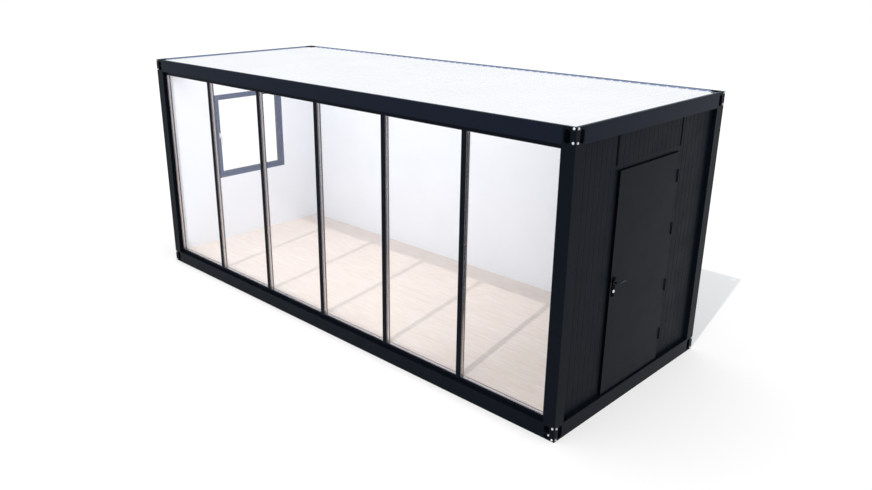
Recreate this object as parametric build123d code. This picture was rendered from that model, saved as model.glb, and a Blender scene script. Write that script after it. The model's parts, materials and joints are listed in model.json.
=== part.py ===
from build123d import *
import os

# Office container: a flat-pack steel module with a glazed front, a door in one end and a window in the other.
# Frame: millimetres, origin on the ground under the middle, +X along the length towards the door end,
# -Y towards the glazed front, +Z up.

# Whole module
length = 6000
width = 2400
height = 2600

# Steel frame
fitting = 120            # plan size of a corner fitting, also the face width of a post and the depth of a rail
rail_height = 140        # height of the rails and of the corner fittings
steel = 4                # sheet thickness of the folded posts and rails
rail_foot = 60           # lower flange of a bottom rail
rail_foot_lip = 15
rail_seat_lip = 20       # turned-down edge of the bottom rail's upper flange, which carries the joists
post_return = 50         # depth of a post's side faces
post_lip = 25

# Corner fittings
fitting_wall = 12
slot_edge = 5            # between an upper fitting's side slots and its top
slot_width = 56
slot_inset = 78          # middle of a side slot from the outer corner edge
deck_slot_length = 66    # slots in the end plates run along X
deck_inset_x = 75
deck_inset_y = 62

# Walls
recess = 36              # wall and glazing planes behind the outer faces of the frame
wall = 100
micro_rib_pitch = 75
micro_rib_width = 14
micro_rib_depth = 1
joint_width = 10         # open joint between two panels
joint_depth = 6
back_panels = 5

# Floor and ceiling
joist_width = 80
joist_flange = 20
joist_sheet = 3
joist_foot = 40          # underside of the joists above the ground
joist_pitch = 600
base_sheet = 1
floor_board = 25
ceiling = 40

# Roof
roof_drop = 16           # roof sheet and upper fittings below the top edge of the rails
roof_sheet = 1
roof_rib_pitch = 100
roof_rib_height = 5
roof_rib_foot = 22
roof_rib_top = 14
rail_cap = 25            # top edge of an upper rail, and of the caps that close the rim over the fittings
rail_ledge = 45          # ledge that the roof sheet lies on
flashing = 1             # strip between the upper fittings that closes an end of the roof sheet
flashing_lap = 12

# Glazed front
glazing_units = 6
glazing_depth = 50
glazing_stile = 29
glazing_head = 40
glazing_sill = 43
pane = 24
pane_setback = 9         # pane behind the front of its frame
pane_grip = 12           # edge of a pane inside its frame
front_splay = 3          # sloped front edge of a sight opening
bead_splay = 5           # slope of the glazing bead behind a pane

# Window in the -X wall
window_width = 1050
window_height = 1090
window_sill_height = 1010
window_depth = 80
window_wall_plane = 32
sash_face = 38
sash_depth = 60
window_handle_height = 1570
window_rose_width = 28
window_rose_height = 70
window_rose_thickness = 10
window_stem = 20
window_stem_radius = 8
window_grip_length = 120
window_grip_width = 18
window_grip_thickness = 12

# Door in the +X wall
door_middle = -17        # middle of the door along Y
door_frame_width = 1060
over_door = 260          # panel between the door frame and the upper rail
door_margin = 45         # frame's outer edge to the leaf's edge
leaf_gap = 6             # between the leaf's edges and the frame
leaf_thickness = 40
leaf_proud = 20          # leaf's outer face beyond the wall plane
leaf_clearance = 5       # behind the leaf and under it
stop_width = 14
threshold_plate = 3
threshold_height = 22

# Door hinges
hinges_from_foot = [261, 759]     # middles of the lower two above the leaf's foot
hinges_from_head = [702, 215]     # middles of the upper two below the leaf's head
hinge_length = 110
knuckle_radius = 8
pin_radius = 4
pin_clearance = 0.1
knuckle_gap = 2
hinge_plate = 4
hinge_plate_width = 10   # overlap on the leaf's face
hinge_link = 12
hinge_play = 0.5         # knuckle to the leaf's edge

# Door handle
handle_height = 1200
handle_backset = 47      # pivot from the leaf's free edge
handle_plate_width = 38
handle_plate_height = 172
handle_plate_top = 42    # plate above the pivot
handle_plate_thickness = 6
handle_plate_corner = 10
lever_reach = 55         # leaf's face to the outside of the lever
lever_length = 110       # pivot to the tip
lever_width = 18
lever_thickness = 12
lever_edge = 2
neck_radius = 8
neck_clearance = 0.4
spindle_radius = 4
spindle_bore = 9
lock_drop = 81          # lock cylinder below the pivot
lock_radius = 8.5
lock_proud = 8
lock_clearance = 0.2

# Values worked out from those above
half_x = length / 2
half_y = width / 2
rail_top = rail_height
head_level = height - rail_height
door_frame_top = head_level - over_door
opening_x = half_x - fitting
opening_y = half_y - fitting
inner_x = half_x - recess - wall
inner_y = half_y - recess - wall
wall_height = head_level - rail_top
floor_level = rail_top + floor_board
roof_level = height - roof_drop
glazing_front = -(half_y - recess)
glazing_back = glazing_front + glazing_depth
wall_plane = half_x - recess
leaf_outer = wall_plane + leaf_proud
leaf_inner = leaf_outer - leaf_thickness
leaf_low_y = door_middle - door_frame_width / 2 + door_margin
leaf_high_y = door_middle + door_frame_width / 2 - door_margin
leaf_top = door_frame_top - door_margin
leaf_bottom = rail_top + threshold_plate + leaf_clearance
hinge_x = leaf_outer + hinge_plate / 2
hinge_y = leaf_high_y + knuckle_radius + hinge_play
hinge_heights = [leaf_bottom + rise for rise in hinges_from_foot]
hinge_heights += [leaf_top - drop for drop in hinges_from_head]
handle_y = leaf_low_y + handle_backset


def block(x0, x1, y0, y1, z0, z1):
    """A box between two corners."""
    return Pos((x0 + x1) / 2, (y0 + y1) / 2, (z0 + z1) / 2) * Box(x1 - x0, y1 - y0, z1 - z0)


def rod(centre, radius, x0, x1):
    """A round bar along X, at a (y, z) centre."""
    return Pos((x0 + x1) / 2, centre[0], centre[1]) * Rot(0, 90, 0) * Cylinder(radius, x1 - x0)


def upright(x, y, radius, z0, z1):
    """A round bar along Z."""
    return Pos(x, y, (z0 + z1) / 2) * Cylinder(radius, z1 - z0)


def folded(points, thickness):
    """The section of a sheet folded along points, with its thickness on the left of the path."""
    normals = []
    for start, end in zip(points, points[1:]):
        step = Vector(*end) - Vector(*start)
        normals.append(Vector(-step.Y, step.X).normalized())
    inner = []
    for index, point in enumerate(points):
        before = normals[max(index - 1, 0)]
        after = normals[min(index, len(normals) - 1)]
        shift = (before + after) * (thickness / (1 + before.dot(after)))
        inner.append((point[0] + shift.X, point[1] + shift.Y))
    return make_face(Polyline(*points, *reversed(inner), close=True))


def along_x(section, half_length):
    """Extrudes a (y, z) section both ways along X."""
    return extrude(Plane.YZ * section, amount=half_length, both=True)


def along_y(section, half_length):
    """Extrudes an (x, z) section both ways along Y."""
    return extrude(Plane.XZ * section, amount=half_length, both=True)


def both_sides(piece, plane):
    """The piece and its mirror image."""
    return [piece, mirror(piece, about=plane)]


def four_corners(piece):
    """The piece at all four corners of the plan."""
    pair = both_sides(piece, Plane.YZ)
    return pair + [mirror(one, about=Plane.XZ) for one in pair]


def save(name, *solids):
    """Writes one node."""
    export_step(solids[0] if len(solids) == 1 else Compound(list(solids)), f"parts/{name}.step")


# Corner fittings


def corner_fitting(fitting_height, edge):
    """A hollow block in its own corner frame, z from its post end outwards, outer faces at x = 0 and y = 0.

    The side slots end at edge from the outer end.
    """
    slot_height = fitting_height - fitting_wall - edge
    slot_middle = fitting_wall + slot_height / 2
    inside = fitting - fitting_wall
    plate_level = fitting_height - fitting_wall
    casting = block(0, fitting, 0, fitting, 0, fitting_height)
    casting -= block(fitting_wall, inside, fitting_wall, inside, fitting_wall, plate_level)
    slot = SlotOverall(slot_height, slot_width, rotation=90)
    casting -= extrude(Plane.XZ * Pos(slot_inset, slot_middle) * slot, amount=-fitting_wall)
    casting -= extrude(Plane.YZ * Pos(slot_inset, slot_middle) * slot, amount=fitting_wall)
    deck_slot = Pos(deck_inset_x, deck_inset_y) * SlotOverall(deck_slot_length, slot_width)
    return casting - extrude(Pos(0, 0, plate_level) * deck_slot, amount=fitting_wall)


def make_fittings():
    lower = mirror(corner_fitting(rail_height, fitting_wall), about=Plane.XY)
    save("bottom_fittings", *four_corners(Pos(-half_x, -half_y, rail_height) * lower))
    upper = corner_fitting(rail_height - roof_drop, slot_edge)
    save("top_fittings", *four_corners(Pos(-half_x, -half_y, head_level) * upper))


# Posts and rails


def make_frame():
    post_path = [
        (post_return, fitting - post_lip),
        (post_return, fitting),
        (0, fitting),
        (0, 0),
        (fitting, 0),
        (fitting, post_return),
        (fitting - post_lip, post_return),
    ]
    post = extrude(folded(post_path, steel), amount=wall_height)
    save("corner_posts", *four_corners(Pos(-half_x, -half_y, rail_top) * post))

    lower_path = [
        (fitting, rail_top - rail_seat_lip),
        (fitting, rail_top),
        (0, rail_top),
        (0, 0),
        (rail_foot, 0),
        (rail_foot, rail_foot_lip),
    ]
    lower = folded(lower_path, steel)
    save("bottom_side_rails", *both_sides(Pos(0, -half_y, 0) * along_x(lower, opening_x), Plane.XZ))
    save("bottom_end_rails", *both_sides(Pos(-half_x, 0, 0) * along_y(lower, opening_y), Plane.YZ))

    ledge_level = roof_level - roof_sheet
    upper_path = [
        (rail_cap, ledge_level),
        (rail_cap, height),
        (0, height),
        (0, head_level),
        (fitting, head_level),
    ]
    upper = folded(upper_path, steel)
    ledge_path = [(rail_cap + rail_ledge, ledge_level), (steel, ledge_level)]
    ledge = folded(ledge_path, steel)
    sides = [both_sides(Pos(0, -half_y, 0) * along_x(section, opening_x), Plane.XZ) for section in (upper, ledge)]
    save("top_side_rails", *sides[0], *sides[1])
    ends = [both_sides(Pos(-half_x, 0, 0) * along_y(section, opening_y), Plane.YZ) for section in (upper, ledge)]
    save("top_end_rails", *ends[0], *ends[1])


# Floor, ceiling and roof


def make_floor():
    top = rail_top - base_sheet
    side = joist_width / 2
    path = [
        (side + joist_flange, joist_foot),
        (side, joist_foot),
        (side, top),
        (-side, top),
        (-side, joist_foot),
        (-side - joist_flange, joist_foot),
    ]
    joist = along_y(folded(path, joist_sheet), opening_y)
    each_way = int((opening_x - side) / joist_pitch)
    places = range(-each_way, each_way + 1)
    save("floor_joists", *[Pos(place * joist_pitch, 0, 0) * joist for place in places])
    save("base_sheet", block(-opening_x, opening_x, -opening_y, opening_y, top, rail_top))
    save("floor_board", block(-inner_x, inner_x, glazing_back, inner_y, rail_top, floor_level))


def make_roof():
    save("ceiling_panel", block(-opening_x, opening_x, -opening_y, opening_y, head_level, head_level + ceiling))
    low = roof_level
    high = roof_level + roof_rib_height
    rib_reach = opening_x - flashing_lap - roof_rib_foot / 2
    each_way = int(rib_reach / roof_rib_pitch + 0.5)
    path = [(opening_x, low)]
    for place in range(each_way, -each_way, -1):
        middle = (place - 0.5) * roof_rib_pitch
        path.append((middle + roof_rib_foot / 2, low))
        path.append((middle + roof_rib_top / 2, high))
        path.append((middle - roof_rib_top / 2, high))
        path.append((middle - roof_rib_foot / 2, low))
    path.append((-opening_x, low))
    save("roof_sheet", along_y(folded(path, roof_sheet), half_y - rail_cap))

    ledge_level = roof_level - roof_sheet
    strip_path = [
        (opening_x - flashing_lap, roof_level),
        (opening_x, roof_level),
        (opening_x, ledge_level),
        (half_x - rail_cap, ledge_level),
    ]
    strip = along_y(folded(strip_path, flashing), opening_y)
    save("roof_end_flashings", *both_sides(strip, Plane.YZ))

    cap = block(0, fitting, 0, rail_cap, roof_level, height)
    cap += block(0, rail_cap, 0, fitting, roof_level, height)
    save("roof_corner_caps", *four_corners(Pos(-half_x, -half_y, 0) * cap))


# Walls


def panel_outline(start, end, joint, origin):
    """Outer skin of a panel as (along, depth) points, with an open joint at each end if it has one.

    Its shallow grooves are counted from origin.
    """
    points = []
    if joint:
        points += [(start, joint), (start + joint_width, joint)]
        start += joint_width
        end -= joint_width
    points.append((start, 0))
    first = int((start - origin) // micro_rib_pitch)
    last = int((end - origin) // micro_rib_pitch) + 1
    half = micro_rib_width / 2
    for place in range(first, last + 1):
        middle = origin + place * micro_rib_pitch
        if start + half < middle < end - half:
            points += [(middle - half, 0), (middle - half / 2, micro_rib_depth)]
            points += [(middle + half / 2, micro_rib_depth), (middle + half, 0)]
    points.append((end, 0))
    if joint:
        points += [(end, joint), (end + joint_width, joint)]
    return points


def standing(points, place, z0, z1):
    """Extrudes an outline of (along, depth) points upwards, each put in plan by place."""
    corners = [(*place(along, depth), z0) for along, depth in points]
    return extrude(make_face(Polyline(*corners, close=True)), amount=z1 - z0, dir=(0, 0, 1))


def end_wall_panel(side, start, end, z0, z1, joint=0):
    """A panel of an end wall. side is 1 at the door end and -1 at the window end."""
    origin = 0
    if start == -opening_y:
        origin = start
    elif end == opening_y:
        origin = end
    points = panel_outline(start, end, joint, origin)
    post_depth = fitting - recess
    points.append((end, wall))
    if start == -opening_y:
        points += [(glazing_back, wall), (glazing_back, post_depth), (start, post_depth)]
    else:
        points.append((start, wall))
    return standing(points, lambda along, depth: (side * (wall_plane - depth), along), z0, z1)


def back_wall_panel(start, end):
    """A panel of the back wall. Its inner edge clears the end walls."""
    points = panel_outline(start, end, joint_depth, (start + end) / 2)
    post_depth = fitting - recess
    if end == opening_x:
        points += [(end, post_depth), (inner_x, post_depth), (inner_x, wall)]
    else:
        points.append((end, wall))
    if start == -opening_x:
        points += [(-inner_x, wall), (-inner_x, post_depth), (start, post_depth)]
    else:
        points.append((start, wall))
    return standing(points, lambda along, depth: (along, half_y - recess - depth), rail_top, head_level)


def make_walls():
    pitch = 2 * opening_x / back_panels
    edges = [-opening_x + pitch * index for index in range(back_panels)] + [opening_x]
    for index in range(back_panels):
        save(f"back_wall_panel_{index + 1}", back_wall_panel(edges[index], edges[index + 1]))

    window_side = window_width / 2
    window_top = window_sill_height + window_height
    save("left_wall_front_panel", end_wall_panel(-1, -opening_y, -window_side, rail_top, head_level))
    save("left_wall_back_panel", end_wall_panel(-1, window_side, opening_y, rail_top, head_level))
    save(
        "left_wall_panel_under_window",
        end_wall_panel(-1, -window_side, window_side, rail_top, window_sill_height, joint_depth),
    )
    save(
        "left_wall_panel_over_window",
        end_wall_panel(-1, -window_side, window_side, window_top, head_level, joint_depth),
    )

    door_low = door_middle - door_frame_width / 2
    door_high = door_middle + door_frame_width / 2
    save("door_wall_front_panel", end_wall_panel(1, -opening_y, door_low, rail_top, head_level))
    save("door_wall_back_panel", end_wall_panel(1, door_high, opening_y, rail_top, head_level))
    save(
        "door_wall_panel_over_door",
        end_wall_panel(1, door_low, door_high, door_frame_top, head_level, joint_depth),
    )


# Glazed front


def splay(plane, sight, narrow, wide, spread):
    """A cutter for the sloped edge of a sight opening. plane is at the opening's middle, its Z along the depth."""
    small = plane * Pos(0, 0, narrow) * Rectangle(*sight)
    large = plane * Pos(0, 0, wide) * Rectangle(sight[0] + 2 * spread, sight[1] + 2 * spread)
    return loft([small, large])


def make_glazing():
    pitch = 2 * opening_x / glazing_units
    pane_front = glazing_front + pane_setback
    panes = []
    for index in range(glazing_units):
        left = -opening_x + pitch * index
        right = left + pitch
        sight = [left + glazing_stile, right - glazing_stile, rail_top + glazing_sill, head_level - glazing_head]
        grip = [sight[0] - pane_grip, sight[1] + pane_grip, sight[2] - pane_grip, sight[3] + pane_grip]
        unit = block(left, right, glazing_front, glazing_back, rail_top, head_level)
        unit -= block(sight[0], sight[1], glazing_front, glazing_back, sight[2], sight[3])
        middle = ((sight[0] + sight[1]) / 2, 0, (sight[2] + sight[3]) / 2)
        plane = Plane(origin=middle, x_dir=(1, 0, 0), z_dir=(0, 1, 0))
        clear = (sight[1] - sight[0], sight[3] - sight[2])
        unit -= splay(plane, clear, glazing_front + front_splay, glazing_front, front_splay)
        unit -= splay(plane, clear, pane_front + pane, glazing_back, bead_splay)
        glass = block(grip[0], grip[1], pane_front, pane_front + pane, grip[2], grip[3])
        save(f"glazing_frame_{index + 1}", unit - glass)
        panes.append(glass)
    save("glazing_panes", *panes)


# Window


def make_window():
    inner = -inner_x
    side = window_width / 2
    low = window_sill_height
    high = low + window_height

    def ring(x0, x1, outer, inset):
        """A rectangular frame in the wall, its outer edge inset by outer and its opening by inset."""
        whole = block(x0, x1, outer - side, side - outer, low + outer, high - outer)
        return whole - block(x0, x1, inset - side, side - inset, low + inset, high - inset)

    save("window_frame", ring(inner - window_depth, inner, 0, window_wall_plane))
    sash_middle = inner - window_depth / 2
    sight = window_wall_plane + sash_face
    grip = sight - pane_grip
    glass = block(
        sash_middle - pane / 2,
        sash_middle + pane / 2,
        grip - side,
        side - grip,
        low + grip,
        high - grip,
    )
    sash_outside = sash_middle - sash_depth / 2
    sash_inside = sash_middle + sash_depth / 2
    sash = ring(sash_outside, sash_inside, window_wall_plane, sight)
    plane = Plane(origin=(0, 0, (low + high) / 2), x_dir=(0, 1, 0), z_dir=(1, 0, 0))
    clear = (window_width - 2 * sight, window_height - 2 * sight)
    sash -= splay(plane, clear, sash_outside + front_splay, sash_outside, front_splay)
    sash -= splay(plane, clear, sash_middle + pane / 2, sash_inside, bead_splay)
    save("window_sash", sash - glass)
    save("window_pane", glass)
    make_window_handle(sash_inside, -side + window_wall_plane + sash_face / 2)


def make_window_handle(sash_inside, along):
    """A turn handle hanging down. Its rose lies on the sash."""
    centre = (along, window_handle_height)
    stem_start = sash_inside + window_rose_thickness
    stem_end = stem_start + window_stem
    rose = RectangleRounded(window_rose_width, window_rose_height, window_rose_width / 3)
    handle = Pos(sash_inside, 0, 0) * extrude(Plane.YZ * Pos(*centre) * rose, amount=window_rose_thickness)
    handle += rod(centre, window_stem_radius, stem_start, stem_end)
    grip = SlotOverall(window_grip_length, window_grip_width, rotation=90)
    grip_middle = window_handle_height - window_grip_length / 2 + window_grip_width / 2
    grip_bar = Pos(stem_end, 0, 0) * extrude(Plane.YZ * Pos(along, grip_middle) * grip, amount=window_grip_thickness)
    save("window_handle", handle + grip_bar)


# Door


def make_door():
    frame_low = door_middle - door_frame_width / 2
    frame_high = door_middle + door_frame_width / 2
    stop_face = leaf_inner - leaf_clearance
    rebate_low = leaf_low_y - leaf_gap
    rebate_high = leaf_high_y + leaf_gap
    rebate_top = leaf_top + leaf_gap
    clear_low = rebate_low + stop_width
    clear_high = rebate_high - stop_width
    clear_top = rebate_top - stop_width

    frame = block(inner_x, wall_plane, frame_low, frame_high, rail_top, door_frame_top)
    frame -= block(stop_face, wall_plane, rebate_low, rebate_high, rail_top, rebate_top)
    frame -= block(inner_x, stop_face, clear_low, clear_high, rail_top, clear_top)
    save("door_frame", frame)

    sill = block(inner_x, stop_face, clear_low, clear_high, rail_top, rail_top + threshold_height)
    sill += block(stop_face, wall_plane, rebate_low, rebate_high, rail_top, rail_top + threshold_plate)
    save("door_threshold", sill)

    pivot = (handle_y, handle_height)
    lock = (handle_y, handle_height - lock_drop)
    leaf = block(leaf_inner, leaf_outer, leaf_low_y, leaf_high_y, leaf_bottom, leaf_top)
    leaf -= rod(pivot, spindle_bore, leaf_inner, leaf_outer)
    leaf -= rod(lock, lock_radius + lock_clearance, leaf_inner, leaf_outer)
    save("door_leaf", leaf)

    plate_middle = handle_height + handle_plate_top - handle_plate_height / 2
    plate_shape = RectangleRounded(handle_plate_width, handle_plate_height, handle_plate_corner)
    plates = []
    for face in (leaf_inner - handle_plate_thickness, leaf_outer):
        plate = extrude(Plane.YZ * Pos(handle_y, plate_middle) * plate_shape, amount=handle_plate_thickness)
        plate = Pos(face, 0, 0) * plate
        plate -= rod(pivot, neck_radius + neck_clearance, face, face + handle_plate_thickness)
        plate -= rod(lock, lock_radius + lock_clearance, face, face + handle_plate_thickness)
        plates.append(plate)
    save("door_handle_plates", *plates)

    lever = rod(pivot, spindle_radius, leaf_inner, leaf_outer)
    lever += lever_arm(leaf_outer, 1)
    lever += lever_arm(leaf_inner, -1)
    save("door_lever", lever)

    plate_reach = handle_plate_thickness + lock_proud
    save("door_lock_cylinder", rod(lock, lock_radius, leaf_inner - plate_reach, leaf_outer + plate_reach))
    make_hinges()


def lever_arm(face, side):
    """A neck out of the leaf's face and an arm towards the hinges. side is -1 on the inside."""
    neck_end = face + side * (lever_reach - lever_thickness)
    neck = rod((handle_y, handle_height), neck_radius, min(face, neck_end), max(face, neck_end))
    arm_middle = handle_y + (lever_length - lever_width / 2) / 2
    arm_shape = SlotOverall(lever_length + lever_width / 2, lever_width)
    arm = extrude(Plane.YZ * Pos(arm_middle, handle_height) * arm_shape, amount=side * lever_thickness)
    outer_face = arm.faces().sort_by(Axis.X)[-1 if side > 0 else 0]
    return neck + Pos(neck_end, 0, 0) * chamfer(outer_face.edges(), lever_edge)


def make_hinges():
    fixed = []
    moving = []
    knuckle = (hinge_length - knuckle_gap) / 2
    for middle in hinge_heights:
        low = middle - hinge_length / 2
        high = middle + hinge_length / 2
        lower = upright(hinge_x, hinge_y, knuckle_radius, low, low + knuckle)
        lower += block(wall_plane, hinge_x, hinge_y, hinge_y + hinge_link, low, low + knuckle)
        lower += upright(hinge_x, hinge_y, pin_radius, low, high - knuckle_gap)
        fixed.append(lower)
        upper = upright(hinge_x, hinge_y, knuckle_radius, high - knuckle, high)
        upper += block(
            leaf_outer,
            leaf_outer + hinge_plate,
            leaf_high_y - hinge_plate_width,
            hinge_y,
            high - knuckle,
            high,
        )
        upper -= upright(hinge_x, hinge_y, pin_radius + pin_clearance, high - knuckle, high)
        moving.append(upper)
    save("door_frame_hinges", *fixed)
    save("door_leaf_hinges", *moving)


os.makedirs("parts", exist_ok=True)
make_fittings()
make_frame()
make_floor()
make_roof()
make_walls()
make_glazing()
make_window()
make_door()
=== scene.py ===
import bmesh
import bpy
import json
import math
from itertools import product
from mathutils import Matrix, Vector


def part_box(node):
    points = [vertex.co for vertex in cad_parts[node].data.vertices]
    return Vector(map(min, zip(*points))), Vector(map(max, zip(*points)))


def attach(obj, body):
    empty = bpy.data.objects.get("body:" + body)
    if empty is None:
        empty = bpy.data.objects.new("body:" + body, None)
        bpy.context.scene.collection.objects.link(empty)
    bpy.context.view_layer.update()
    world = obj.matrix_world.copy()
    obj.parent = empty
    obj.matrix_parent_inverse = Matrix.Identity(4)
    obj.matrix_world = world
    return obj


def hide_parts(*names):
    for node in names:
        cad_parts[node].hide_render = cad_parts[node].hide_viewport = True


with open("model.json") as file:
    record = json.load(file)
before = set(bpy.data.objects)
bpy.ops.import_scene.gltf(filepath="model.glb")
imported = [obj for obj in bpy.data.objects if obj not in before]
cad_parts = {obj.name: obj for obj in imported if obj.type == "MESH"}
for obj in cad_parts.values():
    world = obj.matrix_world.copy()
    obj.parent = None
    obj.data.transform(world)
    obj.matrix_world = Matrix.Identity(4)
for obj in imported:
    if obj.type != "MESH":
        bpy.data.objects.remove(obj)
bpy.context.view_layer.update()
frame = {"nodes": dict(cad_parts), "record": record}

BODY = "container"
DOOR = "door"
LEVER = "lever"


# Places read from the frame, in metres

def low(node):
    return Vector(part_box(node)[0])


def high(node):
    return Vector(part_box(node)[1])


def middle(node):
    return (low(node) + high(node)) / 2


def solids(node):
    """Lowest and highest corner of each separate solid of a node, in order of X, then Y, then Z."""
    obj = frame["nodes"][node]
    mesh = bmesh.new()
    mesh.from_mesh(obj.data)
    bmesh.ops.transform(mesh, matrix=obj.matrix_world, verts=mesh.verts)
    bmesh.ops.remove_doubles(mesh, verts=mesh.verts, dist=1e-6)
    left = set(mesh.verts)
    boxes = []
    while left:
        reached = [left.pop()]
        points = [reached[0].co.copy()]
        while reached:
            for link in reached.pop().link_edges:
                for vertex in link.verts:
                    if vertex in left:
                        left.remove(vertex)
                        reached.append(vertex)
                        points.append(vertex.co.copy())
        lowest = Vector([min(point[i] for point in points) for i in range(3)])
        highest = Vector([max(point[i] for point in points) for i in range(3)])
        boxes.append((lowest, highest))
    mesh.free()
    return sorted(boxes, key=lambda box: [round(value, 4) for value in box[0]])


def count(start):
    return sum(node.startswith(start) for node in frame["nodes"])


HALF_X = -low("bottom_fittings").x
HALF_Y = high("bottom_fittings").y
HEIGHT = high("roof_corner_caps").z
ROOF_EDGE = low("roof_corner_caps").z
RAIL_TOP = high("bottom_side_rails").z
HEAD_LEVEL = low("top_side_rails").z
FLOOR_LEVEL = high("floor_board").z
WALL_Y_OUT = high("back_wall_panel_3").y
WALL_Y_IN = low("back_wall_panel_3").y
WALL_X_OUT = high("door_wall_front_panel").x
WALL_X_IN = low("door_wall_front_panel").x
GLAZING_FRONT = low("glazing_frame_1").y
GLAZING_BACK = high("glazing_frame_1").y
PANE_FRONT = low("glazing_panes").y
PANE_BACK = high("glazing_panes").y
UNITS = count("glazing_frame_")
PANELS = count("back_wall_panel_")


# Node trees

def colour(value):
    """Adds the alpha to a plain colour. Anything else stays as it is."""
    return (*value, 1.0) if isinstance(value, tuple) and len(value) == 3 else value


class Tree:
    """The node tree of a material or world, with short calls for the nodes used here."""

    def __init__(self, owner):
        self.owner = owner
        owner.use_nodes = True
        self.nodes = owner.node_tree.nodes
        self.links = owner.node_tree.links
        self.nodes.clear()

    def add(self, kind, inputs=None, **settings):
        """Adds a node. A socket given as an input is linked, and any other value is set on the input."""
        node = self.nodes.new("ShaderNode" + kind)
        for key, value in settings.items():
            setattr(node, key, value)
        for key, value in (inputs or {}).items():
            if isinstance(value, bpy.types.NodeSocket):
                self.links.new(value, node.inputs[key])
            else:
                node.inputs[key].default_value = value
        return node

    def math(self, operation, first, second=0.0):
        return self.add("Math", {0: first, 1: second}, operation=operation).outputs[0]

    def mix(self, factor, first, second):
        inputs = {"Factor": factor, 6: colour(first), 7: colour(second)}
        return self.add("Mix", inputs, data_type="RGBA").outputs[2]

    def blend(self, factor, first, second):
        """Two shaders mixed."""
        return self.add("MixShader", {0: factor, 1: first, 2: second}).outputs[0]

    def spread(self, value, from_low, from_high, to_low, to_high):
        """Maps a value from one range to another, held inside the new range."""
        inputs = {"Value": value, 1: from_low, 2: from_high, 3: to_low, 4: to_high}
        return self.add("MapRange", inputs, clamp=True).outputs[0]

    def point(self, scale=(1, 1, 1)):
        """The point on the part, in metres, stretched by scale."""
        here = self.add("TexCoord").outputs["Object"]
        return self.add("Mapping", {"Vector": here, "Scale": scale}).outputs[0]

    def axes(self):
        """X, Y and Z of the point on the part."""
        return self.add("SeparateXYZ", {0: self.point()}).outputs

    def noise(self, scale, detail=3.0, rough=0.5, stretch=(1, 1, 1)):
        inputs = {"Vector": self.point(stretch), "Scale": scale, "Detail": detail, "Roughness": rough}
        return self.add("TexNoise", inputs).outputs["Fac"]

    def drift(self, scale, detail, least=0.0, most=1.0):
        """A value that wanders between least and most over the surface."""
        return self.spread(self.noise(scale, detail), 0.3, 0.7, least, most)

    def bump(self, height, strength, distance):
        inputs = {"Height": height, "Strength": strength, "Distance": distance}
        return self.add("Bump", inputs).outputs[0]

    def principled(self, base, rough, **sockets):
        inputs = {"Base Color": colour(base), "Roughness": rough}
        for name, value in sockets.items():
            inputs[name.replace("_", " ")] = colour(value)
        return self.add("BsdfPrincipled", inputs).outputs[0]

    def surface(self, shader, output="OutputMaterial"):
        self.add(output, {"Surface": shader})
        return self.owner


def new_tree(name):
    return Tree(bpy.data.materials.new(name))


def darker(tone, share):
    return tuple(share * part for part in tone)


# Materials

PAINT = (0.0036, 0.0055, 0.0088)
# painted reflection: a bluer, brighter copy of the paint for the top rails, standing in for the sky they
# reflect
RAIL_PAINT_SKY_TINTED = (0.0072, 0.0102, 0.0195)
# painted reflection: a blue tint on the paint's reflections, standing in for a blue sky
PAINTED_SKY_TINT = (0.70, 0.82, 1.0)
# painted shade: matt black for the door leaf's upright edges
LEAF_EDGE_SHADE_BLACK = (0.0016, 0.0016, 0.0018)
WHITE_SHEET = (0.862, 0.872, 0.905)
ROOF_WHITE = (0.93, 0.935, 0.95)
OAK_DEEP = (0.735, 0.65, 0.59)
OAK_PALE = (0.77, 0.695, 0.64)
OAK_GRAIN = (0.63, 0.52, 0.46)
OAK_FIBRE = (0.58, 0.47, 0.415)
OAK_JOINT = (0.42, 0.33, 0.27)
ROOM_FOIL = ((0.008, 0.034, 0.125), (0.006, 0.029, 0.112))
STREET_FOIL = ((0.011, 0.013, 0.018), (0.009, 0.011, 0.015))
ZINC = (0.62, 0.64, 0.67)
RUBBER = ((0.010, 0.010, 0.011), (0.022, 0.022, 0.024))
# partly painted shade: black of the joint strips, which also stands for the shade in the open joints
JOINT_BLACK_AND_SHADE = ((0.0012, 0.0012, 0.0014), (0.0024, 0.0024, 0.0028))
BOARD_WIDTH = 0.19
BOARD_LENGTH = 1.29
BOARD_JOINT = 0.0016
SHEET_SPLIT = 0.05          # depth in a wall panel where its white side ends and its dark side begins


def paint_shader(tree, rough=0.30, level=0.031, base=PAINT):
    """Near-black semi-gloss paint with a fine orange peel and faint dust, its reflections tinted blue as a
    painted sky reflection.
    """
    dust = tree.spread(tree.noise(2.2, 5.0, 0.6), 0.42, 0.75, 0.0, 1.0)
    fine = tree.noise(38.0, 4.0, 0.6)
    dusty = tuple(part + 0.0015 for part in base)
    tone = tree.mix(tree.math("MULTIPLY", dust, fine), base, dusty)
    gloss = tree.drift(5.5, 4.0, rough - 0.035, rough + 0.045)
    peel = tree.bump(tree.noise(420.0, 2.0), 0.10, 0.0004)
    return tree.principled(tone, gloss, Specular_IOR_Level=level, Specular_Tint=PAINTED_SKY_TINT, Normal=peel)


def white_shader(tree, base, rough=0.42):
    """White coated sheet, very slightly uneven."""
    tone = tree.mix(tree.drift(1.7, 4.0), base, darker(base, 0.965))
    peel = tree.bump(tree.noise(260.0, 2.0), 0.02, 0.0004)
    return tree.principled(tone, rough, Specular_IOR_Level=0.35, Normal=peel)


def paint(name, rough=0.30, level=0.031, base=PAINT):
    tree = new_tree(name)
    return tree.surface(paint_shader(tree, rough, level, base))


def white(name, base, rough=0.42):
    tree = new_tree(name)
    return tree.surface(white_shader(tree, base, rough))


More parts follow.
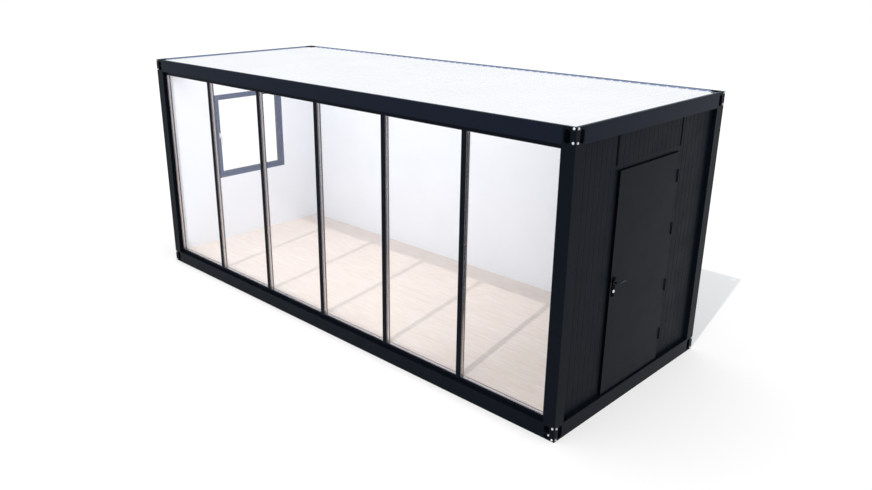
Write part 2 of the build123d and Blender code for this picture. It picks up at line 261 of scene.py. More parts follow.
def leaf_paint(name):
    """Door paint, with the leaf's two upright edges painted matt black as painted shade along them."""
    shade_band = 0.0008
    tree = new_tree(name)
    off_middle = tree.math("ABSOLUTE", tree.math("SUBTRACT", tree.axes()[1], middle("door_leaf").y))
    half = (high("door_leaf").y - low("door_leaf").y) / 2
    edge = tree.math("GREATER_THAN", off_middle, half - shade_band)
    grain = tree.bump(tree.noise(500.0, 2.0), 0.1, 0.0004)
    # painted shade: the upright edge faces go matt black, standing in for the shadow beside the leaf
    black = tree.principled(LEAF_EDGE_SHADE_BLACK, 0.7, Specular_IOR_Level=0.01, Normal=grain)
    return tree.surface(tree.blend(edge, paint_shader(tree, 0.32, 0.032), black))


def wall_sheets(name, axis, side, split):
    """A wall panel's white sheet on the room's side of split and its near-black one outside."""
    tree = new_tree(name)
    depth = tree.math("MULTIPLY", tree.axes()[axis], side)
    outside = tree.math("GREATER_THAN", depth, split)
    dark = paint_shader(tree, 0.42, 0.038)
    return tree.surface(tree.blend(outside, white_shader(tree, WHITE_SHEET), dark))


def fitting_paint(name):
    """Frame paint, with the roof's white coat on the tray that the end plate makes behind the rim."""
    rim = 0.0125
    tree = new_tree(name)
    x, y, z = tree.axes()
    along = tree.math("LESS_THAN", tree.math("ABSOLUTE", x), HALF_X - rim)
    across = tree.math("LESS_THAN", tree.math("ABSOLUTE", y), HALF_Y - rim)
    above = tree.math("GREATER_THAN", z, low("roof_sheet").z)
    tray = tree.math("MULTIPLY", tree.math("MULTIPLY", across, along), above)
    return tree.surface(tree.blend(tray, paint_shader(tree), white_shader(tree, ROOF_WHITE, 0.5)))


def oak(name):
    """Pale oak boards along X, with fine grain, a soft tone for each board and thin joints."""
    tree = new_tree(name)
    x, y, _ = tree.axes()
    row = tree.math("FLOOR", tree.math("DIVIDE", y, BOARD_WIDTH))
    row_dice = tree.add("TexWhiteNoise", {"W": row}, noise_dimensions="1D").outputs["Value"]
    run = tree.math("ADD", tree.math("DIVIDE", x, BOARD_LENGTH), row_dice)
    board = tree.add("CombineXYZ", {0: row, 1: tree.math("FLOOR", run), 2: 0.0}).outputs[0]
    dice = tree.add("TexWhiteNoise", {"Vector": board}, noise_dimensions="3D").outputs["Value"]

    shift = tree.add("CombineXYZ", {0: tree.math("MULTIPLY", dice, 17.0), 1: row, 2: 0.0}).outputs[0]
    spot = tree.add("VectorMath", {0: tree.point((2.4, 42.0, 1.0)), 1: shift}, operation="ADD").outputs[0]
    streaks = {"Vector": spot, "Scale": 1.6, "Detail": 7.0, "Roughness": 0.62}
    grain = tree.add("TexNoise", streaks).outputs["Fac"]
    fibre = tree.noise(1.0, 4.0, 0.6, (7.0, 130.0, 1.0))

    long_joint = tree.math("LESS_THAN", tree.math("PINGPONG", y, BOARD_WIDTH), BOARD_JOINT)
    off_end = tree.math("MULTIPLY", tree.math("FRACT", run), BOARD_LENGTH)
    joint = tree.math("MAXIMUM", long_joint, tree.math("LESS_THAN", off_end, BOARD_JOINT))

    tone = tree.mix(tree.spread(dice, 0.0, 1.0, 0.0, 1.0), OAK_DEEP, OAK_PALE)
    tone = tree.mix(tree.spread(grain, 0.38, 0.64, 0.0, 0.70), tone, OAK_GRAIN)
    tone = tree.mix(tree.spread(fibre, 0.42, 0.66, 0.0, 0.42), tone, OAK_FIBRE)
    tone = tree.mix(tree.math("MULTIPLY", joint, 0.45), tone, OAK_JOINT)
    rough = tree.spread(grain, 0.3, 0.7, 0.36, 0.52)
    relief = tree.math("SUBTRACT", tree.math("MULTIPLY", fibre, 0.25), joint)
    normal = tree.bump(relief, 0.25, 0.0008)
    return tree.surface(tree.principled(tone, rough, Specular_IOR_Level=0.4, Normal=normal))


def zinc(name, base=ZINC, rough=0.42):
    """Galvanised steel with its spangle."""
    tree = new_tree(name)
    cells = tree.add("TexVoronoi", {"Vector": tree.point(), "Scale": 85.0}).outputs["Color"]
    dice = tree.add("SeparateColor", {0: cells}).outputs[0]
    tone = tree.mix(dice, base, darker(base, 0.8))
    gloss = tree.spread(dice, 0.0, 1.0, rough - 0.06, rough + 0.08)
    return tree.surface(tree.principled(tone, gloss, Metallic=1.0))


def metal(name, base, rough, brushed=0.0):
    """Plain metal, with brushing along Z if asked for."""
    tree = new_tree(name)
    lines = tree.noise(1.0, 3.0, 0.6, (700.0, 700.0, 14.0))
    tone = tree.mix(tree.spread(lines, 0.3, 0.7, 0.0, 1.0), base, darker(base, 0.86))
    gloss = tree.drift(60.0, 3.0, rough * 0.85, rough * 1.15)
    normal = tree.bump(lines, brushed, 0.0002)
    return tree.surface(tree.principled(tone, gloss, Metallic=1.0, Normal=normal))


def plastic(name, base, rough=0.45, grain=0.08, level=0.5):
    """Foil or moulded plastic with a fine grain."""
    tree = new_tree(name)
    tone = tree.mix(tree.drift(14.0, 4.0), base, darker(base, 0.9))
    gloss = tree.drift(30.0, 3.0, rough - 0.04, rough + 0.05)
    normal = tree.bump(tree.noise(900.0, 2.0), grain, 0.0003)
    return tree.surface(tree.principled(tone, gloss, Specular_IOR_Level=level, Normal=normal))


def window_profile(name):
    """Foiled window profile, near-black outside and slate blue inside."""
    tree = new_tree(name)
    inside = tree.math("GREATER_THAN", tree.axes()[0], middle("window_frame").x)
    patch = tree.drift(14.0, 4.0)
    tone = tree.mix(inside, tree.mix(patch, *STREET_FOIL), tree.mix(patch, *ROOM_FOIL))
    gloss = tree.drift(30.0, 3.0, 0.41, 0.50)
    normal = tree.bump(tree.noise(900.0, 2.0), 0.08, 0.0003)
    return tree.surface(tree.principled(tone, gloss, Specular_IOR_Level=0.06, Normal=normal))


def rubber(name, tones=RUBBER, level=0.25):
    tree = new_tree(name)
    tone = tree.mix(tree.noise(40.0, 4.0), *tones)
    normal = tree.bump(tree.noise(700.0, 3.0), 0.2, 0.0004)
    return tree.surface(tree.principled(tone, 0.72, Specular_IOR_Level=level, Normal=normal))


def glass(name):
    """Clear sheet glass that shows what is behind it, with a reflection that faint smears soften."""
    tree = new_tree(name)
    through = tree.add("BsdfTransparent", {"Color": (0.999, 1.0, 0.999, 1.0)}).outputs[0]
    smear = tree.spread(tree.noise(2.5, 5.0, 0.6), 0.35, 0.75, 0.0, 0.035)
    mirror = tree.add("BsdfGlossy", {"Color": (1.0, 1.0, 1.0, 1.0), "Roughness": smear}).outputs[0]
    fresnel = tree.add("Fresnel", {"IOR": 1.5}).outputs[0]
    outside = tree.math("SUBTRACT", 1.0, tree.add("NewGeometry").outputs["Backfacing"])
    return tree.surface(tree.blend(tree.math("MULTIPLY", fresnel, outside), through, mirror))


MATERIALS = {
    "frame_paint": paint("frame_paint"),
    # rail_paint is the frame paint made bluer and brighter as a painted sky reflection on the top rails
    "rail_paint": paint("rail_paint", 0.30, 0.034, RAIL_PAINT_SKY_TINTED),
    "door_paint": paint("door_paint", 0.32, 0.032),
    "door_leaf": leaf_paint("door_leaf"),
    "wall_back": wall_sheets("wall_back", 1, 1.0, WALL_Y_IN + SHEET_SPLIT),
    "wall_door_end": wall_sheets("wall_door_end", 0, 1.0, WALL_X_IN + SHEET_SPLIT),
    "wall_window_end": wall_sheets("wall_window_end", 0, -1.0, WALL_X_IN + SHEET_SPLIT),
    "fitting_top": fitting_paint("fitting_top"),
    "roof_coat": white("roof_coat", ROOF_WHITE, 0.5),
    "ceiling_coat": white("ceiling_coat", WHITE_SHEET),
    "galvanised": zinc("galvanised"),
    "oak_floor": oak("oak_floor"),
    "glazing_profile": paint("glazing_profile", 0.28),
    "window_profile": window_profile("window_profile"),
    "edge_seal": plastic("edge_seal", (0.20, 0.27, 0.45), 0.5),
    "clear_glass": glass("clear_glass"),
    "handle_metal": metal("handle_metal", (0.82, 0.82, 0.84), 0.16, 0.1),
    "lever_metal": plastic("lever_metal", (0.003, 0.003, 0.004), 0.25, 0.03, 0.20),
    "plate_black": plastic("plate_black", (0.0014, 0.0014, 0.0016), 0.45, 0.03, 0.008),
    "window_handle_coat": plastic("window_handle_coat", (0.70, 0.71, 0.74), 0.35, 0.03),
    "bolt_zinc": zinc("bolt_zinc", (0.80, 0.81, 0.83), 0.3),
    # painted reflection: the spacer's warm tint and the bright trim stand for the floor reflected in the
    # glazing reveals
    "spacer": metal("spacer", (0.64, 0.59, 0.60), 0.20),
    "trim": metal("trim", (0.34, 0.31, 0.32), 0.20),
    "rubber": rubber("rubber"),
    "joint_black": rubber("joint_black", JOINT_BLACK_AND_SHADE, 0.02),
}

# Nodes and walls whose material isn't simply the one named after their slot
NODE_MATERIALS = {
    "top_fittings": "fitting_top",
    "top_side_rails": "rail_paint",
    "top_end_rails": "rail_paint",
    "door_leaf": "door_leaf",
    "door_handle_plates": "plate_black",
}
WALL_MATERIALS = {
    "back_wall": "wall_back",
    "left_wall": "wall_window_end",
    "door_wall": "wall_door_end",
}

# Radius that takes the knife edge off folded steel, cast fittings and profiles
EDGES = {
    0.0006: ["door_leaf_hinges", "door_frame_hinges"],
    0.001: [f"glazing_frame_{index + 1}" for index in range(UNITS)],
    0.0015: [
        "corner_posts", "bottom_side_rails", "bottom_end_rails", "top_side_rails", "top_end_rails",
        "top_fittings", "roof_corner_caps", "door_leaf", "door_handle_plates", "door_frame",
        "window_frame", "window_sash",
    ],
    0.002: ["window_handle"],
    0.0025: ["bottom_fittings"],
}


def dress_nodes():
    """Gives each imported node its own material, its wall's or its slot's."""
    slots = {row["node"]: row["material_slot"] for row in frame["record"]["subparts"]}
    for node, obj in frame["nodes"].items():
        wall = "_".join(node.split("_")[:2])
        name = NODE_MATERIALS.get(node) or WALL_MATERIALS.get(wall) or slots[node]
        if not obj.material_slots:
            obj.data.materials.append(MATERIALS[name])
        for slot in obj.material_slots:
            slot.material = MATERIALS[name]


def round_edges():
    for radius, nodes in EDGES.items():
        for node in nodes:
            bevel = frame["nodes"][node].modifiers.new("edge", "BEVEL")
            bevel.width = radius
            bevel.segments = 2
            bevel.limit_method = "ANGLE"
            bevel.angle_limit = math.radians(40)
            bevel.harden_normals = False


# Mesh helpers

def piece(name, mesh, material, body, smooth=True):
    """Makes an object of a bmesh, gives it its finish and lets it ride on a body."""
    bmesh.ops.recalc_face_normals(mesh, faces=mesh.faces)
    data = bpy.data.meshes.new(name)
    mesh.to_mesh(data)
    mesh.free()
    data.materials.append(MATERIALS[material])
    obj = bpy.data.objects.new(name, data)
    bpy.context.scene.collection.objects.link(obj)
    if smooth:
        for polygon in data.polygons:
            polygon.use_smooth = True
        data.set_sharp_from_angle(angle=math.radians(38))
    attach(obj, body)
    return obj


def join_rings(mesh, first, second):
    """Faces between two closed rings with equally many points."""
    for step in range(len(first)):
        following = (step + 1) % len(first)
        mesh.faces.new([first[step], first[following], second[following], second[step]])


def lathe(mesh, profile, centre, axis, steps=24, turn=0.0):
    """Turns (radius, height) points round an axis. The profile is closed, or starts and ends on the axis."""
    place = Matrix.Translation(centre) @ Vector(axis).to_track_quat("Z", "Y").to_matrix().to_4x4()
    rings = []
    for radius, rise in profile:
        if radius == 0:
            rings.append([mesh.verts.new(place @ Vector((0, 0, rise)))])
            continue
        ring = []
        for step in range(steps):
            angle = turn + 2 * math.pi * step / steps
            point = Vector((radius * math.cos(angle), radius * math.sin(angle), rise))
            ring.append(mesh.verts.new(place @ point))
        rings.append(ring)
    for before, after in zip(rings, rings[1:]):
        count = max(len(before), len(after))
        for step in range(count):
            following = (step + 1) % count
            corners = [before[step % len(before)], before[following % len(before)]]
            corners += [after[following % len(after)], after[step % len(after)]]
            unique = list(dict.fromkeys(corners))
            if len(unique) > 2:
                mesh.faces.new(unique)


def rod(mesh, centre, axis, radius, length, steps=24):
    lathe(mesh, [(0, 0), (radius, 0), (radius, length), (0, length)], centre, axis, steps)


def box_at(mesh, corner_low, corner_high, edge=0.0):
    """A box between two corners, with its edges taken off by edge."""
    made = bmesh.ops.create_cube(mesh, size=1.0)["verts"]
    centre = (Vector(corner_low) + Vector(corner_high)) / 2
    size = Vector(corner_high) - Vector(corner_low)
    for vertex in made:
        vertex.co = Vector([vertex.co[i] * size[i] for i in range(3)]) + centre
    if edge:
        edges = list(dict.fromkeys(link for vertex in made for link in vertex.link_edges))
        bmesh.ops.bevel(mesh, geom=edges, offset=edge, segments=2, affect="EDGES", profile=0.5)


def frame_ring(mesh, rim, section, place):
    """A mitred ring inside the rectangle rim, which is (across_low, across_high, z_low, z_high). section is
    a closed list of (inset, depth) points, and place turns (across, depth, z) into a point."""
    across_low, across_high, z_low, z_high = rim
    corners = []
    for right, top in ((0, 0), (1, 0), (1, 1), (0, 1)):
        ring = []
        for inset, depth in section:
            across = across_high - inset if right else across_low + inset
            z = z_high - inset if top else z_low + inset
            ring.append(mesh.verts.new(place(across, depth, z)))
        corners.append(ring)
    for index in range(4):
        join_rings(mesh, corners[index], corners[(index + 1) % 4])


def strip(mesh, section, start, end, place):
    """A straight strip with a closed section of (across, depth) points, from start to end."""
    first = [mesh.verts.new(place(across, depth, start)) for across, depth in section]
    last = [mesh.verts.new(place(across, depth, end)) for across, depth in section]
    join_rings(mesh, first, last)
    mesh.faces.new(first)
    mesh.faces.new(list(reversed(last)))


# Glass

GLASS_SHEET = 0.004
GRIP = 0.012                # how far a pane reaches into its frame
TOUCH = 0.0002              # overlap of two pieces that touch
GASKET_DEPTH = 0.0035
TRIM_SETBACK = 0.0015       # bright trim behind the front of the frame


def front_place(x, y, z):
    """A point of the glazed front, from its (across, depth, z)."""
    return Vector((x, y, z))


def window_place(y, x, z):
    """A point of the window, from its (across, depth, z)."""
    return Vector((x, y, z))


def lip(hidden, shown_start, shown_end, start, end):
    """Section of a strip round a pane, between two depths. It reaches behind the frame's edge by hidden,
    and past it by shown_start and shown_end."""
    outer = GRIP - hidden
    return [(outer, start), (GRIP + shown_start, start), (GRIP + shown_end, end), (outer, end)]


def double_glazing(name, rim, depth_low, depth_high, place, spacer="spacer"):
    """Two sheets of glass and the spacer between them, in the pocket of the frame."""
    across_low, across_high, z_low, z_high = rim
    sheets = bmesh.new()
    for start in (depth_low, depth_high - GLASS_SHEET):
        corner_low = place(across_low, start, z_low)
        corner_high = place(across_high, start + GLASS_SHEET, z_high)
        box_at(sheets, corner_low, corner_high)
    panes = piece(f"{name}_sheets", sheets, "clear_glass", BODY, smooth=False)
    bar = bmesh.new()
    clear = 0.0015
    frame_ring(bar, rim, lip(0.009, clear, clear, depth_low + clear, depth_high - clear), place)
    piece(f"{name}_spacer", bar, spacer, BODY, smooth=False)
    return panes


def gasket_ring(mesh, rim, start, end, place):
    frame_ring(mesh, rim, lip(0.002, 0.0012, 0.0018, start, end), place)


def glaze_front():
    """The six units, each with a bright trim in front and a rubber gasket behind. The trim is a painted
    reflection that widens the bright band in the reveals, and the spacer's warm tint paints the floor
    reflected there.
    """
    for index, (lowest, highest) in enumerate(solids("glazing_panes")):
        rim = (lowest.x, highest.x, lowest.z, highest.z)
        name = f"glazing_unit_{index + 1}"
        double_glazing(name, rim, PANE_FRONT, PANE_BACK, front_place)
        trim = bmesh.new()
        section = lip(0.0005, 0.0012, 0.0016, GLAZING_FRONT + TRIM_SETBACK, PANE_FRONT - TOUCH)
        frame_ring(trim, rim, section, front_place)
        piece(f"glazing_trim_{index + 1}", trim, "trim", BODY, smooth=False)
        gasket = bmesh.new()
        gasket_ring(gasket, rim, PANE_BACK - TOUCH, PANE_BACK + GASKET_DEPTH, front_place)
        piece(f"glazing_gasket_{index + 1}", gasket, "rubber", BODY, smooth=False)
    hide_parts("glazing_panes")


def glaze_window():
    bottom = low("window_pane")
    top = high("window_pane")
    rim = (bottom.y, top.y, bottom.z, top.z)
    made = double_glazing("window_unit", rim, bottom.x, top.x, window_place, "window_profile")
    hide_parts("window_pane")
    gaskets = bmesh.new()
    gasket_ring(gaskets, rim, bottom.x - GASKET_DEPTH, bottom.x + TOUCH, window_place)
    gasket_ring(gaskets, rim, top.x - TOUCH, top.x + GASKET_DEPTH, window_place)
    piece("window_gaskets", gaskets, "rubber", BODY, smooth=False)


# Wall joints

JOINT = 0.010
COVER_LAP = 0.006           # cover strip beyond the joint, on each side
COVER_RISE = 0.0016         # cover strip proud of the wall
SEAL_FRONT = 0.0008         # front and back of a seal behind the wall's face
SEAL_BACK = 0.005
SEAL_CLEAR = 0.0003
SEAL_ROUNDING = 0.0004
COVERED_PANELS = {
    "door_wall_panel_over_door": 1,
    "left_wall_panel_over_window": -1,
    "left_wall_panel_under_window": -1,
}


def joint_seals():
    """Black cover strips on the end walls' joints, whose black is partly painted shade for the open gaps
    they cover, and seals in those of the back wall.
    """
    mesh = bmesh.new()
    for node, side in COVERED_PANELS.items():
        bottom, top = low(node), high(node)
        x0, x1 = sorted((side * (WALL_X_OUT - TOUCH), side * (WALL_X_OUT + COVER_RISE)))
        for y in (bottom.y, top.y - JOINT):
            corner_low = (x0, y - COVER_LAP, bottom.z)
            corner_high = (x1, y + JOINT + COVER_LAP, top.z)
            box_at(mesh, corner_low, corner_high, SEAL_ROUNDING)
    half = JOINT - SEAL_CLEAR
    for index in range(1, PANELS):
        bottom, top = low(f"back_wall_panel_{index}"), high(f"back_wall_panel_{index}")
        corner_low = (top.x - half, WALL_Y_OUT - SEAL_BACK, bottom.z)
        corner_high = (top.x + half, WALL_Y_OUT - SEAL_FRONT, top.z)
        box_at(mesh, corner_low, corner_high, SEAL_ROUNDING)
    piece("panel_joint_seals", mesh, "joint_black", BODY, smooth=False)


# Door

LEAF_OUT = high("door_leaf").x
LEAF_IN = low("door_leaf").x
LEAF_THICK = LEAF_OUT - LEAF_IN
PIVOT_Y = middle("door_lock_cylinder").y
PIVOT_Z = middle("door_lever").z
LEVER_TIP = high("door_lever").y
LEVER_OUT = high("door_lever").x
LOCK_Z = middle("door_lock_cylinder").z
LOCK_OUT = high("door_lock_cylinder").x
LOCK_IN = low("door_lock_cylinder").x
LOCK_RADIUS = (high("door_lock_cylinder").z - low("door_lock_cylinder").z) / 2
PLATE_LOW, PLATE_HIGH = solids("door_handle_plates")[1]
PLATE_THICK = PLATE_HIGH.x - LEAF_OUT
PLATE_FACES = ((1, LEAF_OUT + PLATE_THICK), (-1, LEAF_IN - PLATE_THICK))
BAR_RADIUS = 0.008
BAR_BEND = 0.014
BAR_DOME = 0.005
SPINDLE_RADIUS = 0.004
SCREW_RADIUS = 0.0042
SCREW_DROP = 0.011          # upper screw below the top of its plate
SCREW_LIFT = 0.012          # lower screw above the foot of its plate
SCREW_SUNK = 0.0003
COLLAR = [(0.0088, 0), (0.0135, 0), (0.0135, 0.002), (0.0125, 0.003), (0.0088, 0.003), (0.0088, 0)]
ROSETTE = [(0, 0), (0.0145, 0), (0.0145, 0.0015), (0.0130, 0.0042), (0.0105, 0.0056), (0, 0.0056)]
KEY_HALF_WIDTH = 0.0011
KEY_HALF_HEIGHT = 0.0036
PIN_RADIUS = 0.008
PIN_PROUD = 0.002           # middle of the pins in front of the leaf
PIN_CAP = [(0, 0), (PIN_RADIUS, 0), (PIN_RADIUS * 0.93, 0.0012), (PIN_RADIUS * 0.6, 0.0026), (0, 0.0032)]
STOP_CLEARANCE = 0.005      # frame's stop behind the closed leaf
DOOR_SEAL_WIDTH = 0.006
DOOR_SEAL_FOOT = 0.016      # lower end of the seal above the leaf's foot


def bent_bar(mesh, points, radius, dome, steps=20):
    """A round bar through points, flat at its first end and domed at its last."""
    rings = []
    for index, point in enumerate(points):
        before = points[max(index - 1, 0)]
        after = points[min(index + 1, len(points) - 1)]
        heading = (after - before).normalized()
        rings.append((point, heading, radius))
    for step in range(1, 6):
        angle = step * math.pi / 10
        reach = points[-1] + heading * (dome * math.sin(angle))
        rings.append((reach, heading, radius - dome * (1 - math.cos(angle))))
    made = []
    for point, heading, size in rings:
        side = heading.cross(Vector((0, 0, 1))).normalized()
        ring = []
        for step in range(steps):
            angle = 2 * math.pi * step / steps
            spoke = side * math.cos(angle) + Vector((0, 0, math.sin(angle)))
            ring.append(mesh.verts.new(point + spoke * size))
        made.append(ring)
    for first, second in zip(made, made[1:]):
        join_rings(mesh, first, second)
    mesh.faces.new(made[0])
    mesh.faces.new(made[-1])


def lever_path(side):
    """Middle line of the lever's bar on one side of the leaf."""
    face = LEAF_OUT if side > 0 else LEAF_IN
    arm_x = face + side * (LEVER_OUT - LEAF_OUT - BAR_RADIUS)
    points = [
        Vector((face - side * 0.002, PIVOT_Y, PIVOT_Z)),
        Vector((arm_x - side * BAR_BEND, PIVOT_Y, PIVOT_Z)),
    ]
    for step in range(1, 9):
        angle = step * math.pi / 16
        x = arm_x - side * BAR_BEND * (1 - math.sin(angle))
        points.append(Vector((x, PIVOT_Y + BAR_BEND * (1 - math.cos(angle)), PIVOT_Z)))
    points.append(Vector((arm_x, LEVER_TIP - BAR_DOME, PIVOT_Z)))
    return points


def door_lever():
    """A bar lever on both faces, and the spindle between them."""
    mesh = bmesh.new()
    for side in (-1, 1):
        bent_bar(mesh, lever_path(side), BAR_RADIUS, BAR_DOME)
    rod(mesh, Vector((LEAF_IN, PIVOT_Y, PIVOT_Z)), (1, 0, 0), SPINDLE_RADIUS, LEAF_THICK)
    made = piece("lever_bar", mesh, "lever_metal", LEVER)
    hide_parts("door_lever")


def lock_face(mesh, side, face, reach):
    """One end of the profile cylinder, from the leaf's face out to reach, with the edge of its plug."""
    sunk = 0.001
    tall = abs(reach - face) + sunk
    plug = LOCK_RADIUS * 0.66
    inner = plug - 0.0004
    rounding = 0.001
    groove = tall - 0.0012
    outside = [(0, 0), (LOCK_RADIUS, 0), (LOCK_RADIUS, tall - rounding), (LOCK_RADIUS - rounding, tall)]
    inside = [(plug, tall), (plug, groove), (inner, groove), (inner, tall - TOUCH), (0, tall - TOUCH)]
    lathe(mesh, outside + inside, Vector((face - side * sunk, PIVOT_Y, LOCK_Z)), (side, 0, 0), 32)


def lock_cylinder():
    """The cylinder through the leaf, with a rosette on each handle plate and a key slot in each end, each
    slot a thin black box painted as the shade in the keyway.
    """
    mesh = bmesh.new()
    lock_face(mesh, 1, LEAF_OUT, LOCK_OUT)
    lock_face(mesh, -1, LEAF_IN, LOCK_IN)
    rod(mesh, Vector((LEAF_IN, PIVOT_Y, LOCK_Z)), (1, 0, 0), LOCK_RADIUS, LEAF_THICK, 32)
    for side, face in PLATE_FACES:
        lathe(mesh, ROSETTE, Vector((face, PIVOT_Y, LOCK_Z)), (side, 0, 0), 32)
    made = piece("lock_ends", mesh, "handle_metal", DOOR)
    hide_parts("door_lock_cylinder")
    # painted shade: a thin black box on each end stands for the dark inside of the keyway
    slots = bmesh.new()
    for side, reach in ((1, LOCK_OUT), (-1, LOCK_IN)):
        x0, x1 = sorted((reach + side * 0.00005, reach - side * 0.0006))
        corner_low = (x0, PIVOT_Y - KEY_HALF_WIDTH, LOCK_Z - KEY_HALF_HEIGHT)
        corner_high = (x1, PIVOT_Y + KEY_HALF_WIDTH, LOCK_Z + KEY_HALF_HEIGHT)
        box_at(slots, corner_low, corner_high, 0.0002)
    piece("key_slot_shade", slots, "rubber", DOOR, smooth=False)


def screw_head(mesh, centre, axis, radius):
    """A low domed screw head with a round socket."""
    rise = radius * 0.42
    socket = radius * 0.42
    outer = [(0, 0), (radius, 0), (radius * 0.93, rise * 0.6), (radius * 0.7, rise * 0.93), (socket, rise)]
    inner = [(socket, rise * 0.35), (0, rise * 0.3)]
    lathe(mesh, outer + inner, centre, axis, 18)


def plate_screws():
    """A screw near each end of both handle plates, and a collar where the lever leaves the plate."""
    screws = bmesh.new()
    collars = bmesh.new()
    for side, face in PLATE_FACES:
        for z in (PLATE_HIGH.z - SCREW_DROP, PLATE_LOW.z + SCREW_LIFT):
            centre = Vector((face - side * SCREW_SUNK, PIVOT_Y, z))
            screw_head(screws, centre, (side, 0, 0), SCREW_RADIUS)
        lathe(collars, COLLAR, Vector((face, PIVOT_Y, PIVOT_Z)), (side, 0, 0), 28)
    piece("plate_screws", screws, "plate_black", DOOR)
    piece("lever_collars", collars, "lever_metal", DOOR)


def hinge_details():
    """Domed caps over and under the hinge pins."""
    caps = bmesh.new()
    for _, top in solids("door_leaf_hinges"):
        centre = Vector((top.x - PIN_RADIUS, top.y - PIN_RADIUS, top.z - TOUCH))
        lathe(caps, PIN_CAP, centre, (0, 0, 1), 20)
    piece("hinge_caps", caps, "door_paint", DOOR)
    feet = bmesh.new()
    pin_y = high("door_leaf_hinges").y - PIN_RADIUS
    for bottom, _ in solids("door_frame_hinges"):
        lathe(feet, PIN_CAP, Vector((LEAF_OUT + PIN_PROUD, pin_y, bottom.z + TOUCH)), (0, 0, -1), 20)
    piece("hinge_feet", feet, "door_paint", BODY)


def door_seal():
    """A soft strip on the frame's stop, just behind the closed leaf."""
    mesh = bmesh.new()
    stop = LEAF_IN - STOP_CLEARANCE
    shoulder = stop + 0.0022
    crest = stop + 0.0042
    lap = 0.001
    inset = lap + DOOR_SEAL_WIDTH
    bottom, top = low("door_leaf"), high("door_leaf")

    def section(start):
        end = start + DOOR_SEAL_WIDTH
        return [(start, stop), (end, stop), (end, shoulder), ((start + end) / 2, crest), (start, shoulder)]

    for y in (bottom.y + lap, top.y - inset):
        strip(mesh, section(y), bottom.z + DOOR_SEAL_FOOT, top.z,
              lambda across, depth, along: Vector((depth, across, along)))
    strip(mesh, section(top.z - inset), bottom.y + inset, top.y - inset,
          lambda across, depth, along: Vector((depth, along, across)))
    piece("door_seal", mesh, "rubber", BODY, smooth=False)


def make_door():
    door_lever()
    lock_cylinder()
    plate_screws()
    hinge_details()
    door_seal()


# Roof edge

def roof_seal():
    """Sealing strips on the inner faces of the rim, between the corner caps and down to the roof sheet."""
    mesh = bmesh.new()
    rim = HALF_Y - high("roof_sheet").y
    thick = 0.0015
    slope = 0.001
    bottom = ROOF_EDGE + 0.0015
    top = HEIGHT - 0.0015
    cap_low, cap_high = solids("roof_corner_caps")[0]
    reach_x = HALF_X - (cap_high.x - cap_low.x)
    reach_y = HALF_Y - (cap_high.y - cap_low.y)

    def section(face, inner):
        return [(face, bottom), (inner, bottom), (inner, top - slope), (face, top)]

    for side in (-1, 1):
        face = side * (HALF_Y - rim)
        strip(mesh, section(face, face - side * thick), -reach_x, reach_x,
              lambda across, depth, along: Vector((along, across, depth)))
        face = side * (HALF_X - rim)
        strip(mesh, section(face, face - side * thick), -reach_y, reach_y,
              lambda across, depth, along: Vector((across, along, depth)))
    piece("roof_edge_seal", mesh, "edge_seal", BODY, smooth=False)


# Bolts

BOLT_INSET = 0.0225         # from the fitting's corner edge
BOLT_RISE = 0.053           # above and below the middle of the slot
BOLT_ACROSS = 0.016         # across the flats
BOLT_HEAD = 0.0055
WASHER_RADIUS = 0.0105
WASHER_THICK = 0.0016
UPPER_SLOT_DROP = 0.048     # middle of an upper fitting's slot below its top


def hex_bolt(mesh, centre, axis, turn):
    """A hexagon head with its chamfered crown, on a washer."""
    washer = [
        (0, 0),
        (WASHER_RADIUS, 0),
        (WASHER_RADIUS, WASHER_THICK * 0.7),
        (WASHER_RADIUS - 0.0008, WASHER_THICK),
        (0, WASHER_THICK),
    ]
    lathe(mesh, washer, centre, axis)
    corner = BOLT_ACROSS / math.sqrt(3)
    foot = WASHER_THICK
    shoulder = foot + BOLT_HEAD * 0.8
    crown = foot + BOLT_HEAD
    head = [(0, foot), (corner, foot), (corner, shoulder), (corner * 0.86, crown), (0, crown)]
    lathe(mesh, head, centre, axis, 6, turn)


def fitting_bolts():
    """Two bolts beside the corner edge in both outer faces of each fitting."""
    for name, slot in (("lower", RAIL_TOP / 2), ("upper", high("top_fittings").z - UPPER_SLOT_DROP)):
        mesh = bmesh.new()
        for side_x, side_y, rise in product((-1, 1), (-1, 1), (-BOLT_RISE, BOLT_RISE)):
            z = slot + rise
            turn = 0.4 * side_x + 0.9 * side_y + 7.0 * rise
            on_end = Vector((side_x * HALF_X, side_y * (HALF_Y - BOLT_INSET), z))
            on_side = Vector((side_x * (HALF_X - BOLT_INSET), side_y * HALF_Y, z))
            hex_bolt(mesh, on_end, (side_x, 0, 0), turn)
            hex_bolt(mesh, on_side, (0, side_y, 0), turn + 0.5)
        piece(f"{name}_fitting_bolts", mesh, "bolt_zinc", BODY)


# Stage, lights and camera

FLOOR_RADIUS = 45.0
FLOOR_TONE = (0.80, 0.80, 0.805)
FLOOR_GLOW = 0.25
SKY = ((0.96, 0.98, 1.0), 0.79)
SKY_IN_GLOSS = ((0.80, 0.90, 1.0), 1.0)
SKY_IN_VIEW = ((1.0, 1.0, 1.0), 1.0)
SUN_TRAVEL = (-0.36, 1.89, -2.23)
CAMERA_PLACE = (6.052, -5.966, 3.692)
CAMERA_DOWN = 19.54
CAMERA_TURN = 45.08


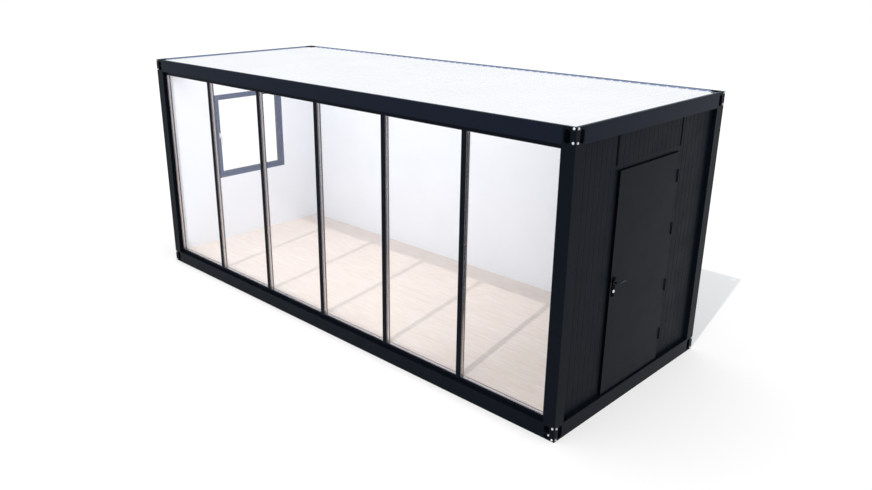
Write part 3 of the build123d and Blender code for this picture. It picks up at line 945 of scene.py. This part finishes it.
def make_floor():
    mesh = bmesh.new()
    bmesh.ops.create_circle(mesh, cap_ends=True, radius=FLOOR_RADIUS, segments=96)
    data = bpy.data.meshes.new("studio_floor")
    mesh.to_mesh(data)
    mesh.free()
    floor = bpy.data.objects.new("studio_floor", data)
    bpy.context.scene.collection.objects.link(floor)
    tree = new_tree("studio_floor")
    glow = {"Emission_Color": (1.0, 1.0, 1.0), "Emission_Strength": FLOOR_GLOW}
    shader = tree.principled(FLOOR_TONE, 0.9, Specular_IOR_Level=0.0, **glow)
    data.materials.append(tree.surface(shader))


def make_world():
    """A plain sky that is a little dimmer and cooler on the object than it is to the camera."""
    world = bpy.data.worlds.new("studio")
    bpy.context.scene.world = world
    tree = Tree(world)
    path = tree.add("LightPath").outputs
    in_view = tree.math("MAXIMUM", path["Is Camera Ray"], path["Is Transmission Ray"])
    skies = []
    for tone, strength in (SKY, SKY_IN_GLOSS, SKY_IN_VIEW):
        skies.append(tree.add("Background", {0: colour(tone), 1: strength}).outputs[0])
    lit = tree.blend(path["Is Glossy Ray"], skies[0], skies[1])
    tree.surface(tree.blend(in_view, lit, skies[2]), "OutputWorld")


def make_sun():
    data = bpy.data.lights.new("sun", "SUN")
    data.energy = 1.25
    data.angle = math.radians(0.8)
    data.color = (1.0, 0.955, 0.90)
    sun = bpy.data.objects.new("sun", data)
    sun.rotation_euler = Vector(SUN_TRAVEL).to_track_quat("-Z", "Y").to_euler()
    bpy.context.scene.collection.objects.link(sun)


def fill_light(name, size, energy, tone, place, tilt=0.0):
    """A soft light that is seen neither directly nor in a reflection."""
    data = bpy.data.lights.new(name, "AREA")
    data.shape = "RECTANGLE"
    data.size, data.size_y = size
    data.energy = energy
    data.color = tone
    light = bpy.data.objects.new(name, data)
    light.location = place
    light.rotation_euler = (math.radians(tilt), 0.0, 0.0)
    light.visible_camera = False
    light.visible_glossy = False
    light.visible_transmission = False
    bpy.context.scene.collection.objects.link(light)


def make_lights():
    """The sun, and two fills that stand for the light that a bright room passes on."""
    make_sun()
    fill_light(
        "room_fill",
        size=(4.6, 1.8),
        energy=33.0,
        tone=(0.94, 0.96, 1.0),
        place=(-0.7, (WALL_Y_IN + GLAZING_BACK) / 2, HEAD_LEVEL - 0.02),
    )
    fill_light(
        "front_fill",
        size=(4.6, 2.1),
        energy=25.0,
        tone=(0.91, 0.95, 1.0),
        place=(-0.9, GLAZING_BACK + 0.03, (FLOOR_LEVEL + HEAD_LEVEL) / 2),
        tilt=90,
    )


def make_camera():
    data = bpy.data.cameras.new("camera")
    data.sensor_width = 36.0
    data.lens = 32.55
    data.shift_x = 0.0361
    data.shift_y = -0.0017
    data.clip_end = 200.0
    camera = bpy.data.objects.new("camera", data)
    camera.location = CAMERA_PLACE
    camera.rotation_euler = (math.radians(90.0 - CAMERA_DOWN), 0.0, math.radians(CAMERA_TURN))
    bpy.context.scene.collection.objects.link(camera)
    bpy.context.scene.camera = camera


def make_stage():
    make_floor()
    make_world()
    make_lights()
    make_camera()
    bpy.context.scene.view_settings.view_transform = "Standard"


dress_nodes()
round_edges()
glaze_front()
glaze_window()
joint_seals()
make_door()
roof_seal()
fitting_bolts()
make_stage()
